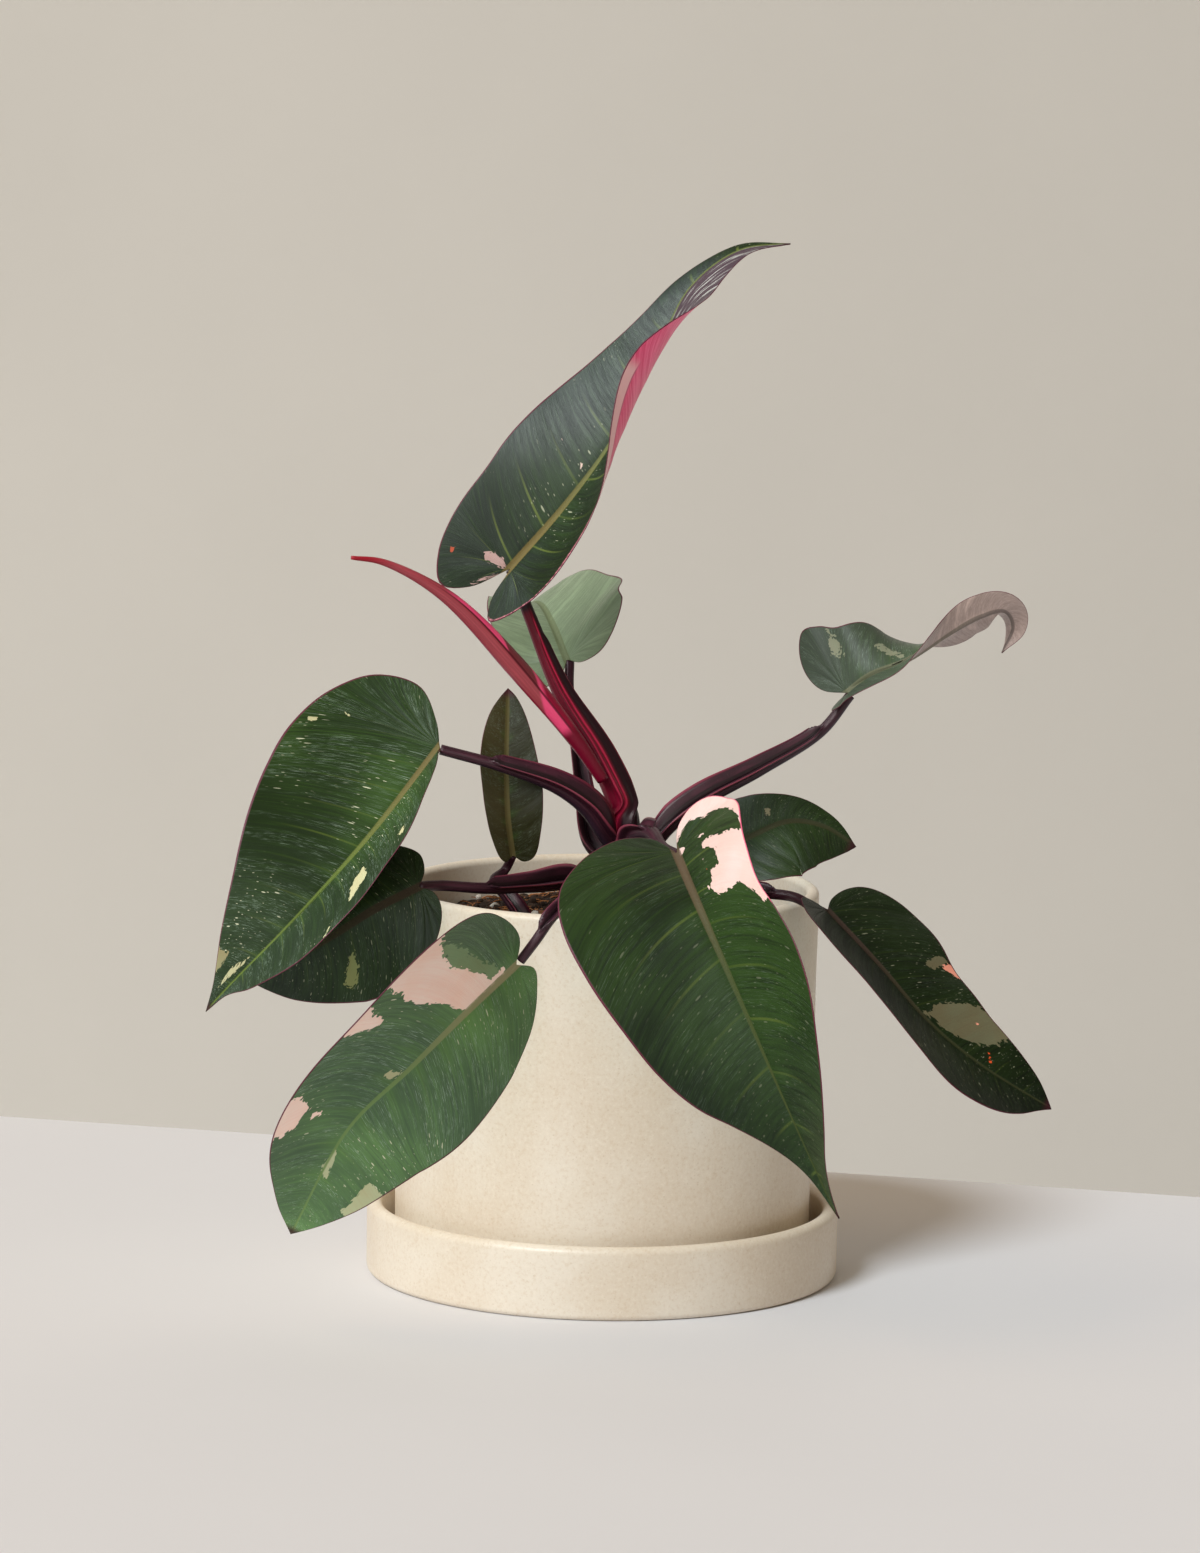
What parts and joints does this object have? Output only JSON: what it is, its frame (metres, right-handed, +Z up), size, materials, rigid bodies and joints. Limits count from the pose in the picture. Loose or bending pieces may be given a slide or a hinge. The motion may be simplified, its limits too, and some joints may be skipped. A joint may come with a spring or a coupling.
{
  "type": "potted philodendron",
  "caption": "Pink-variegated philodendron with heart-shaped leaves on arching dark petioles, growing in a straight round ceramic pot on a matching saucer.",
  "frame": {"origin": "centre of the saucer's flat underside, on the surface it stands on", "axes": "+Z up, -Y towards the front of the plant as pictured, +X to its right"},
  "size_m": [0.3143, 0.2658, 0.3924],
  "materials": {
    "ceramic": "satin cream stoneware with fine tan speckles",
    "soil": "crumbly dark potting mix of bark, coir and perlite",
    "stem": "smooth dark green-brown",
    "petiole": "smooth dark aubergine with pink edges",
    "leaf": "satin dark green with pink and cream patches",
    "new_leaf": "satin hot pink"
  },
  "bodies": {
    "root": {"saucer": "ceramic", "pot": "ceramic", "soil": "soil", "stem": "stem", "new_leaf": "new_leaf", "leaf_tall": "leaf", "leaf_left": "leaf", "leaf_low_left": "leaf", "leaf_front_left": "leaf", "leaf_front": "leaf", "leaf_right": "leaf", "leaf_back_right": "leaf", "leaf_high_right": "leaf", "leaf_back": "leaf", "leaf_small": "leaf", "petiole_tall": "petiole", "petiole_left": "petiole", "petiole_low_left": "petiole", "petiole_front_left": "petiole", "petiole_front": "petiole", "petiole_right": "petiole", "petiole_back_right": "petiole", "petiole_high_right": "petiole", "petiole_back": "petiole", "petiole_small": "petiole"}
  },
  "joints": []
}
